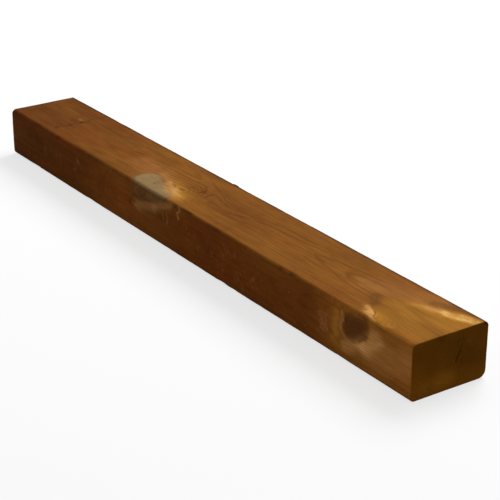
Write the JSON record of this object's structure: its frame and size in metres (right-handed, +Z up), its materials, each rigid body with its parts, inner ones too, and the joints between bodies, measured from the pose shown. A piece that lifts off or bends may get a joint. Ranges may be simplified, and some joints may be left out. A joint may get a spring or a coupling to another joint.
{
  "type": "decking joist",
  "caption": "Short length of planed, brown pressure-treated softwood joist with rounded arrises and square-cut ends, for carrying deck boards.",
  "frame": {"origin": "centre of the underside, on the surface that the joist lies on", "axes": "+X along the joist towards the end with the dark knot, +Y across the wide faces towards the back, +Z up"},
  "size_m": [0.6, 0.07, 0.045],
  "materials": {
    "treated_pine": "planed softwood, brown pressure treatment, matt"
  },
  "bodies": {
    "root": {"joist": "treated_pine"}
  },
  "joints": []
}
